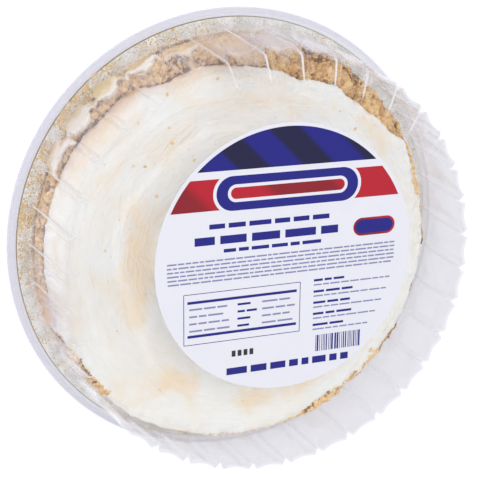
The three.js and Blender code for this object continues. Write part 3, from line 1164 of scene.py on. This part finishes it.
class PIE_OT_crumbs(bpy.types.Operator):
    """Scatters the loose crumbs: blocks on the crust, fine ones on the rim and on the topping"""

    bl_idname = "pie.crumbs"
    bl_label = "Crumbs"

    # A negative tone shift darkens a row's crumbs, partly as painted shade in cracks and between lumps
    # (from, to, in degrees, reach in mm, half width in mm, count, largest radius in mm, tone shift)
    RIDGES = (
        (-112, -78, 117.4, 0.3, 85, 0.5, 0.1),
        (-78, -68, 117.6, 0.5, 100, 0.9, 0.2),
        (-71, -58, 117.0, 1.5, 400, 1.6, 0.05),
        (-71, -58, 116.6, 1.7, 130, 1.3, -0.3),
        (-67, -61, 117.6, 1.5, 170, 2.0, 0.1),
        (-71, -57, 115.2, 0.5, 70, 0.7, -0.4),
        (-58, -49, 117.6, 0.4, 45, 0.9, 0.0),
        (-58, -50, 114.6, 0.5, 34, 1.0, 0.0),
        (-50, -43, 117.4, 0.5, 30, 0.9, 0.0),
        (-48, -43, 115.4, 0.5, 18, 0.9, 0.1),
        (-44.5, -41, 115.5, 2.0, 50, 1.0, 0.45),
        (-41, -31, 118.0, 0.45, 270, 0.95, -0.38),
        (-21, -15.5, 117.6, 0.25, 60, 0.7, -0.5),
        (-5.7, 2, 116.4, 0.25, 60, 0.7, -0.5),
        (10.5, 19.5, 113.4, 1.2, 130, 1.4, 0.3),
        (206, 224, 115.8, 1.0, 230, 1.2, 0.15),
        (210, 219, 115.6, 0.9, 130, 1.1, -0.45),
    )
    # Crumbs on the topping that stand out: (angle in degrees, reach in mm)
    SPECKS = (
        (147.5, 64.6),
        (117.6, 100.7),
        (130.3, 98.4),
        (123.1, 85.8),
        (125.7, 77.5),
        (100.4, 98.0),
        (91.1, 101.2),
        (139.5, 79.0),
        (142.2, 84.5),
        (121.8, 61.9),
        (176.1, 83.5),
        (52.9, 93.6),
        (43.8, 91.9),
    )

    def chunk_spots(self, draw, top_at):
        """Chunks lie along the crust's broken edge, largest where the topping leaves it bare."""
        spots = []
        while len(spots) < CHUNKS:
            angle = draw.uniform(0, TURN)
            bare = at(angle, hump, *BARE_SIDE)
            if draw.random() > 0.25 + 0.75 * bare:
                continue
            inner = min(at(angle, topping_radius) + 0.8 * MM, CRUST_RADIUS - 3 * MM)
            size = draw.triangular(1.3, 2.2 + 2 * bare, 1.8) * MM
            reach = draw.uniform(inner, CRUST_RADIUS - 0.5 * size)
            pocket = at(angle, crust_pockets)
            if reach + size > CRUST_RADIUS - 7 * MM * pocket:
                continue
            point = top_at(reach, angle)
            if point is None or point.z > HIGHEST_ON_CRUST:
                continue
            # Painted shade: chunks in a broken pocket are darker
            spots.append((point - Vector((0, 0, size * 0.25)), size, -0.3 * pocket))
        return spots

    def block_spots(self, draw, top_at):
        """Blocks stand between the chunks, and then down the crust's side."""
        spots = []
        while len(spots) < BLOCKS_ON_TOP:
            angle = draw.uniform(0, TURN)
            inner = min(at(angle, topping_radius) + 0.5 * MM, CRUST_RADIUS - 2.5 * MM)
            reach = draw.uniform(inner, CRUST_RADIUS - 0.5 * MM)
            pocket = at(angle, crust_pockets)
            point = top_at(reach, angle)
            if point is None or point.z > HIGHEST_ON_CRUST:
                continue
            size = draw.triangular(0.5, 1.8, 0.9) * MM
            if reach + size > CRUST_RADIUS - 6 * MM * pocket and pocket > 0.2:
                continue
            if math.hypot(point.x, point.y) + size > CRUST_RADIUS + 0.8 * MM:
                size = CRUST_RADIUS + 0.8 * MM - math.hypot(point.x, point.y)
            # Painted shade: blocks in a broken pocket are darker
            spots.append((point, size, -0.4 * pocket))
        while len(spots) < BLOCKS_ON_TOP + BLOCKS_ON_SIDE:
            angle = draw.uniform(0, TURN)
            rise = at(angle, crust_rise)
            reach = CRUST_RADIUS - CRUST_POCKET * at(angle, crust_pockets) * 0.7
            height = RIM + draw.uniform(0.5 * MM, rise - 1.5 * MM)
            size = draw.triangular(0.5, 1.7, 0.9) * MM
            spots.append((point_at(reach, angle, height), size, -0.1))
        return spots

    def brink_spots(self, draw, top_at):
        """Crumbs pushed up on the topping's brink, none of which reaches the lid's wall."""
        spots = []
        for start, end, middle, half, count, largest, shade in self.RIDGES:
            for _ in range(count):
                angle = math.radians(draw.uniform(start, end))
                reach = min(draw.gauss(middle, half) * MM, TOPPING_LIMIT + 0.4 * MM)
                point = top_at(reach, angle)
                if point is None:
                    continue
                size = min(draw.uniform(0.4, largest) * MM, (CRUMB_LIMIT - reach) / GRAIN_PUSH[1])
                spots.append((point + Vector((0, 0, size * 0.3)), size, shade))
        return spots

    def rim_spots(self, draw):
        """Fine crumbs on the rim, thick on the side where the crust has shed most, and darker ones that
        fill the gap between the crust and the rim, their darkness a painted shade of that gap."""
        spots = []
        while len(spots) < RIM_CRUMBS:
            angle = draw.uniform(0, TURN)
            density = 0.08 + 0.92 * at(angle, hump, *SHED_SIDE)
            cluster = math.sin(17 * angle + 1.3) * math.sin(7 * angle) + 0.6 * math.sin(41 * angle)
            if draw.random() > density * (0.5 + 0.5 * cluster):
                continue
            outer = draw.random() < 0.45
            reach = draw.triangular(*((122.8, 126.9, 126.6) if outer else (118.6, 126.4, 119.5))) * MM
            size = draw.triangular(0.2, 1.0, 0.35) * MM
            if reach > UNDER_LIP:
                size = min(size, UNDER_LIP_SIZE)
            spots.append((point_at(reach, angle, RIM + size * 0.05), size, 0))
        while len(spots) < RIM_CRUMBS + GAP_CRUMBS:
            angle = draw.uniform(0, TURN)
            reach = draw.uniform(117.3, 118.9) * MM
            size = draw.uniform(0.3, 0.75) * MM
            height = RIM + draw.uniform(-0.6, 0.1) * MM
            # Painted shade: crumbs in the gap are darkened
            spots.append((point_at(reach, angle, height), size, -0.45))
        return spots

    def topping_spots(self, draw, top_at):
        """A few orange-tan crumbs lie on the topping: those that stand out, and smaller strays."""
        spots = []
        places = [(math.radians(turn), reach * MM, draw.uniform(1.0, 1.5)) for turn, reach in self.SPECKS]
        places += [
            (draw.uniform(0, TURN), math.sqrt(draw.uniform(0.35, 1)) * 108 * MM, draw.uniform(0.3, 0.7))
            for _ in range(STRAY_CRUMBS)
        ]
        for angle, reach, size in places:
            point = top_at(reach, angle)
            if point is None or point.z < TOPPING_EDGE:
                continue
            spots.append((point - Vector((0, 0, size * 0.1 * MM)), size * MM, 0))
        return spots

    def execute(self, context):
        settings = context.scene.pie_crust
        draw = random.Random(7)
        chunks = [make_grain(draw, 3, draw.uniform(0.6, 0.85)) for _ in range(6)]
        blocks = [make_grain(draw, 2, draw.uniform(0.6, 0.9)) for _ in range(5)]
        bits = [make_grain(draw, 1, draw.uniform(0.5, 0.8)) for _ in range(5)]
        over_crust = surface_of(bpy.data.objects["crust_pressed"], bpy.data.objects["topping_spread"])
        over_topping = surface_of(bpy.data.objects["topping_spread"])
        baked = (settings.dark, settings.golden, settings.pale)
        fine = (settings.sifted_dark, settings.sifted, settings.sifted_pale)
        creamed = (settings.creamed_dark, settings.creamed, settings.creamed_pale)
        broken = crumb_material("cracker_crumb_broken", baked, 0.9)
        sifted = crumb_material("cracker_crumb_sifted", fine, 0.9)
        on_cream = crumb_material("cracker_crumb_on_cream", creamed, 0.9)

        piece = scatter("crust_chunks", chunks, self.chunk_spots(draw, over_crust), draw)
        roughen(piece, 1.7 * MM, 1.1 * MM, kind="VORONOI", middle=0.4)
        smooth(piece, 40)
        finish_piece(piece, broken)
        piece = scatter("crust_blocks", blocks, self.block_spots(draw, over_crust), draw)
        smooth(piece, 35)
        finish_piece(piece, broken)
        piece = scatter("brink_crumbs", blocks, self.brink_spots(draw, over_crust), draw)
        smooth(piece, 35)
        finish_piece(piece, broken)
        piece = scatter("rim_crumbs", bits, self.rim_spots(draw), draw)
        smooth(piece, 35)
        finish_piece(piece, sifted)
        piece = scatter("topping_crumbs", bits, self.topping_spots(draw, over_topping), draw)
        smooth(piece, 35)
        finish_piece(piece, on_cream)
        return {"FINISHED"}


class PIE_OT_dome_lid(bpy.types.Operator):
    """Forms one flute of the clear lid and repeats it round the axis"""

    bl_idname = "pie.dome_lid"
    bl_label = "Dome lid"

    STEPS = 24  # across one flute
    WALL_STEPS = 18  # up the wall

    def outline(self):
        """(radius, height, inward share, downward share) of each ring, from the lip to the middle."""
        rim = RIM + 0.3 * MM
        flange = rim + 1 * MM
        lip = LID_LOW.z
        rows = [(LID_RADIUS, lip, 0, 0), (LID_RADIUS, rim - 0.8 * MM, 0, 0)]
        for k in range(1, 5):
            turn = math.pi / 2 * k / 4
            rolled = LID_RADIUS - 2.2 * MM * (1 - math.cos(turn))
            rows.append((rolled, rim - 0.8 * MM + 1.8 * MM * math.sin(turn), 0, 0))
        rows.append((LID_RADIUS - 5 * MM, flange, 0, 0))
        rows.append((WALL_FOOT_RADIUS + 0.8 * MM, flange, 0.1, 0))
        rows.append((WALL_FOOT_RADIUS + 0.1 * MM, flange + 0.5 * MM, 0.25, 0))
        for k in range(self.WALL_STEPS + 1):
            share = k / self.WALL_STEPS
            height = flange + 1.2 * MM + (SHOULDER - 5 * MM - flange - 1.2 * MM) * share
            radius = WALL_FOOT_RADIUS - 0.05 * MM + (SHOULDER_RADIUS + 0.3 * MM - WALL_FOOT_RADIUS) * share
            rows.append((radius, height, FOOT_SHARE + (1 - FOOT_SHARE) * share, 0))
        below = Vector((SHOULDER_RADIUS + 0.25 * MM, SHOULDER - 5 * MM))
        corner = Vector((SHOULDER_RADIUS, SHOULDER))
        ring = Vector((RING_RADIUS, LID_TOP))
        half_way = Vector(((SHOULDER_RADIUS + RING_RADIUS) / 2, (SHOULDER + LID_TOP) / 2 + 0.5 * MM))
        after = corner + (half_way - corner).normalized() * 5 * MM
        for k in range(1, 8):
            t = k / 8
            spot = below * (1 - t) ** 2 + corner * 2 * t * (1 - t) + after * t**2
            rows.append((spot.x, spot.y, 1 - 0.3 * t, 0.25 * t))
        for k in range(7):
            t = k / 6
            spot = after.lerp(half_way, t)
            rows.append((spot.x, spot.y, 0.7 * (1 - t), 0.25 + 0.15 * t))
        for k in range(1, 7):
            t = k / 6
            spot = half_way.lerp(ring, t)
            rows.append((spot.x, spot.y, 0, 0.4 * (1 - t) ** 1.5))
        top = LID_TOP - TOP_RECESS
        rows.append((RING_RADIUS - 0.5 * MM, LID_TOP, 0, 0))
        rows.append((RING_RADIUS - 1.1 * MM, LID_TOP - 0.6 * MM, 0, 0))
        rows.append((RING_RADIUS - 1.7 * MM, top, 0, 0))
        for radius in (90, 76, 60, 40, 20, 0):
            rows.append((radius * MM, top, 0, 0))
        return rows

    def one_flute(self):
        """A strip of the lid, one flute wide, from the lip to the middle."""
        rows = self.outline()
        around = FLUTES * self.STEPS
        deselect_all()
        bpy.ops.mesh.primitive_circle_add(vertices=around, radius=1, rotation=(0, 0, FLUTE_PHASE))
        piece = named("dome_lid_formed")
        bpy.ops.object.mode_set(mode="EDIT")
        mesh = bmesh.from_edit_mesh(piece.data)
        for corner in mesh.verts:
            angle = math.atan2(corner.co.y, corner.co.x)
            corner.select = not -1e-4 < angle - FLUTE_PHASE < FLUTE_PITCH + 1e-4
        mesh.select_flush_mode()
        bmesh.update_edit_mesh(piece.data)
        bpy.ops.mesh.delete(type="VERT")
        bpy.ops.mesh.select_all(action="SELECT")
        for _ in rows[1:]:
            bpy.ops.mesh.extrude_edges_move(TRANSFORM_OT_translate={"value": (0, 0, 1)})
        close_edit()
        places = corners(piece)
        ring = np.rint(places[:, 2]).astype(int)
        _, angle = polar(places)
        groove, panel = flute(angle)
        depth = GROOVE_DEPTH * groove + PANEL_BOW * panel
        table = np.array(rows)[ring]
        radius = table[:, 0] - depth * table[:, 2]
        height = table[:, 1] - depth * table[:, 3]
        move_corners(piece, np.stack([radius * np.cos(angle), radius * np.sin(angle), height], axis=1))
        return piece

    def repeat_round(self, context, piece):
        """Repeats the strip round the axis and joins the copies."""
        deselect_all()
        turn = bpy.data.objects.new("turn", None)
        context.scene.collection.objects.link(turn)
        turn.rotation_euler = (0, 0, FLUTE_PITCH)
        context.view_layer.update()
        repeat = {
            "count": FLUTES,
            "use_relative_offset": False,
            "use_object_offset": True,
            "offset_object": turn,
            "use_merge_vertices": True,
            "use_merge_vertices_cap": True,
            "merge_threshold": 1e-5,
        }
        apply_modifier(piece, "ARRAY", repeat)
        bpy.data.objects.remove(turn)
        merge(piece, 1e-5)
        face_outwards(piece)

    def execute(self, context):
        settings = context.scene.pie_lid
        piece = self.one_flute()
        self.repeat_round(context, piece)
        places = corners(piece)
        reach, angle = polar(places)
        groove, panel = flute(angle)
        paint(piece, "groove", groove)
        paint(piece, "panel", panel)
        drift = FLUTE_DRIFT * hump(angle, DRIFT_MIDDLE, DRIFT_WIDTH)
        places[:, 0] = reach * np.cos(angle + drift)
        places[:, 1] = reach * np.sin(angle + drift)
        move_corners(piece, places)
        # The sheet is not quite even: slow dents wander over the wall
        on_wall = np.clip((places[:, 2] - RIM - 4 * MM) / (10 * MM), 0, 1)
        on_wall *= np.clip((LID_TOP - 4 * MM - places[:, 2]) / (6 * MM), 0, 1)
        roughen(piece, 34 * MM, 1.0 * MM, on_wall, detail=1, middle=0.75)
        sheet = {"thickness": settings.sheet, "offset": -1, "use_even_offset": True, "use_rim": True}
        apply_modifier(piece, "SOLIDIFY", sheet)
        smooth(piece)
        finish_piece(piece, clear_sheet_material(settings), "dome_lid")
        return {"FINISHED"}


def label_disc(name, radius, height):
    """A flat disc round the label's middle."""
    deselect_all()
    place = (LABEL_CENTRE.x, LABEL_CENTRE.y, height)
    bpy.ops.mesh.primitive_circle_add(vertices=256, radius=radius, fill_type="NGON", location=place)
    return named(name)


class PIE_OT_label(bpy.types.Operator):
    """Cuts the round paper label"""

    bl_idname = "pie.label"
    bl_label = "Label"

    def execute(self, context):
        settings = context.scene.pie_label
        piece = label_disc("label_paper", LABEL_RADIUS, LABEL_LOW.z)
        edit(piece)
        bpy.ops.mesh.extrude_region_move(
            TRANSFORM_OT_translate={"value": (0, 0, settings.paper_thickness)}
        )
        for _ in range(3):
            bpy.ops.mesh.inset(thickness=LABEL_RADIUS / 4)
        close_edit()
        face_outwards(piece)
        smooth(piece, 30)
        finish_piece(piece, paper_material(settings), "label")
        return {"FINISHED"}


def print_bars(name, bars, settings, material):
    """Flat bars of ink, (x, y, width, height) in mm from the label's middle, as one thin piece."""
    deselect_all()
    level = LABEL_LOW.z + settings.paper_thickness
    for number, (x, y, width, height) in enumerate(bars):
        bpy.ops.mesh.primitive_plane_add(size=1, location=(0, 0, 0))
        if number == 0:
            piece = named(name)
            edit(piece)
        bpy.ops.transform.resize(value=(width * MM, height * MM, 1), center_override=(0, 0, 0))
        bpy.ops.transform.translate(value=(LABEL_CENTRE.x + x * MM, LABEL_CENTRE.y + y * MM, level))
    close_edit()
    thicken(piece, settings)
    finish_piece(piece, material)


def thicken(piece, settings):
    apply_modifier(piece, "SOLIDIFY", {"thickness": settings.ink_thickness, "offset": 1})


def words(draw, x0, x1, y, height, shortest, longest, gap):
    """Bars as long as words, filling a line from x0 to x1 (mm)."""
    made, x = [], x0
    while x < x1 - shortest:
        length = min(draw.uniform(shortest, longest), x1 - x)
        made.append((x + length / 2, y, length, height))
        x += length + gap
    return made


class PIE_OT_print(bpy.types.Operator):
    """Prints the label: a striped cap, a red lozenge, lines of bars, a boxed table and a bar code"""

    bl_idname = "pie.print"
    bl_label = "Print"

    # In mm from the label's middle
    DISC = 71.5
    LOZENGE_Y = 38.3
    BADGE = (51, 13.5)
    TABLE = (-58, 8, -14, -42)  # left, right, top, bottom
    LINE = 0.35
    CODE = (18, 44, -50.5, 9.5)  # left, right, middle, height
    # Lines of bars: (left, right, y, height, shortest bar, longest bar, gap)
    HEADINGS = (
        (-44, 26, 21.5, 2.6, 5, 13, 2),
        (-52, 30, 14.0, 4.4, 9, 20, 3),
        (-36, 22, 8.0, 1.9, 5, 11, 1.6),
        (-34, 38, -60.0, 3.9, 4, 12, 2.2),
    )

    def band(self, name, radius, lowest, highest, settings, material):
        """The part of a disc that lies between two heights (mm over the label's middle)."""
        piece = label_disc(name, radius * MM, LABEL_LOW.z + settings.paper_thickness)
        below, above = [(0, LABEL_CENTRE.y + height * MM, 0) for height in (lowest, highest)]
        edit(piece)
        bpy.ops.mesh.bisect(plane_co=below, plane_no=(0, 1, 0), clear_inner=True)
        bpy.ops.mesh.select_all(action="SELECT")
        if highest < radius:
            bpy.ops.mesh.bisect(plane_co=above, plane_no=(0, 1, 0), clear_outer=True)
        close_edit()
        thicken(piece, settings)
        finish_piece(piece, material)

    def lozenge(self, name, x, y, width, height, lift, settings, material):
        """A bar with round ends, `lift` layers of ink over the paper."""
        deselect_all()
        level = LABEL_LOW.z + settings.paper_thickness + lift * settings.ink_thickness
        bpy.ops.mesh.primitive_plane_add(size=1, location=(0, 0, 0))
        piece = named(name)
        edit(piece)
        bpy.ops.transform.resize(value=(width * MM, height * MM, 1), center_override=(0, 0, 0))
        bpy.ops.mesh.bevel(offset=height * 0.499 * MM, segments=16, affect="VERTICES")
        bpy.ops.transform.translate(value=(LABEL_CENTRE.x + x * MM, LABEL_CENTRE.y + y * MM, level))
        close_edit()
        thicken(piece, settings)
        finish_piece(piece, material)

    def execute(self, context):
        settings = context.scene.pie_label
        draw = random.Random(11)
        navy_bands = ink_material("navy_ink_banded", settings.navy, settings.navy_deep, 18)
        navy = ink_material("navy_ink", settings.navy, settings.navy)
        red = ink_material("red_ink", settings.red, settings.red_deep, 40)
        grey = ink_material("grey_ink", settings.grey, settings.grey)
        black = ink_material("black_ink", settings.black, settings.black)
        white = paper_material(settings)
        self.band("print_cap", self.DISC, 50.5, 72, settings, navy_bands)
        self.band("print_belt", self.DISC, 30, 46.5, settings, red)
        middle = (0, self.LOZENGE_Y)
        self.lozenge("print_lozenge_edge", *middle, 84, 22, 1.0, settings, white)
        self.lozenge("print_lozenge", *middle, 80.4, 18.4, 2.1, settings, navy)
        self.lozenge("print_lozenge_line", *middle, 68, 9.4, 3.2, settings, white)
        self.lozenge("print_lozenge_heart", *middle, 64.6, 6.0, 4.3, settings, red)
        self.lozenge("print_badge_edge", *self.BADGE, 25, 10, 0.0, settings, red)
        self.lozenge("print_badge", *self.BADGE, 22.6, 7.6, 1.1, settings, navy)

        bold = []
        for heading in self.HEADINGS:
            bold += words(draw, *heading)
        for row in range(5):
            bold += words(draw, 16, 38 + 6 * (row % 2), -14 - 6.4 * row, 1.3, 4, 9, 1.2)
        # Small print runs right across the label, and stands in a column at the right
        fine = []
        for row in range(6):
            y = 3.2 - 2.2 * row
            half = math.sqrt(70**2 - y**2) - 3
            fine += words(draw, -half, half - 3, y, 0.85, 2, 6.5, 0.7)
        for row in range(0, 10, 2):
            y = -16.6 - 3.2 * row
            fine += words(draw, 16, math.sqrt(68**2 - y**2) - 4, y, 0.8, 2.5, 7, 0.8)
        # The boxed table, with thick bars across it
        left, right, top, bottom = self.TABLE
        middle_x, middle_y = (left + right) / 2, (top + bottom) / 2
        wide, tall = right - left, top - bottom
        frame_bars = [(middle_x, y, wide, self.LINE) for y in (top, bottom)]
        frame_bars += [(x, middle_y, self.LINE, tall) for x in (left, right)]
        bold += [(middle_x, top - 4.6, wide - 4, 1.5), (middle_x, bottom + 4.6, wide - 4, 1.5)]
        for row in range(4):
            y = top - 8.4 - 4 * row
            fine += words(draw, left + 3, left + 26, y, 1.0, 4, 9, 1)
            bold += words(draw, left + 30, left + 41, y, 1.2, 4, 8, 1)
            fine += words(draw, left + 44, right - 3, y, 1.0, 4, 9, 1)
        code = []
        x, end, middle_y, tall = self.CODE
        while x < end:
            width = draw.choice((0.35, 0.35, 0.7, 1.0))
            code.append((x + width / 2, middle_y, width, tall))
            x += width + draw.choice((0.4, 0.6, 0.9))
        print_bars("print_bold", bold + frame_bars + code, settings, navy)
        print_bars("print_fine", fine, settings, grey)
        stamp = [(-30 + 3.4 * k, -50, 2.2, 3.4) for k in range(4)]
        print_bars("print_stamp", stamp, settings, black)
        return {"FINISHED"}


class PIE_PT_panel(bpy.types.Panel):
    """Lists the pie's pieces"""

    bl_idname = "PIE_PT_panel"
    bl_label = "Lemon meringue pie"
    bl_space_type = "VIEW_3D"
    bl_region_type = "UI"
    bl_category = "Pie"

    def draw(self, context):
        for operator in OPERATORS:
            self.layout.operator(operator.bl_idname)


GROUPS = {
    "pie_pan": PanSettings,
    "pie_crust": CrustSettings,
    "pie_topping": ToppingSettings,
    "pie_lid": LidSettings,
    "pie_label": LabelSettings,
    "pie_studio": StudioSettings,
}
OPERATORS = (
    PIE_OT_stage,
    PIE_OT_foil_pan,
    PIE_OT_crust,
    PIE_OT_topping,
    PIE_OT_crumbs,
    PIE_OT_dome_lid,
    PIE_OT_label,
    PIE_OT_print,
)


def register():
    for name, group in GROUPS.items():
        bpy.utils.register_class(group)
        setattr(bpy.types.Scene, name, bpy.props.PointerProperty(type=group))
    for operator in (*OPERATORS, PIE_PT_panel):
        bpy.utils.register_class(operator)


def unregister():
    for operator in (*OPERATORS, PIE_PT_panel):
        bpy.utils.unregister_class(operator)
    for name, group in GROUPS.items():
        delattr(bpy.types.Scene, name)
        bpy.utils.unregister_class(group)


def main():
    register()
    bpy.ops.pie.stage()
    bpy.ops.pie.foil_pan()
    bpy.ops.pie.crust()
    bpy.ops.pie.topping()
    bpy.ops.pie.crumbs()
    bpy.ops.pie.dome_lid()
    bpy.ops.pie.label()
    bpy.ops.pie.print()


if __name__ == "__main__":
    main()
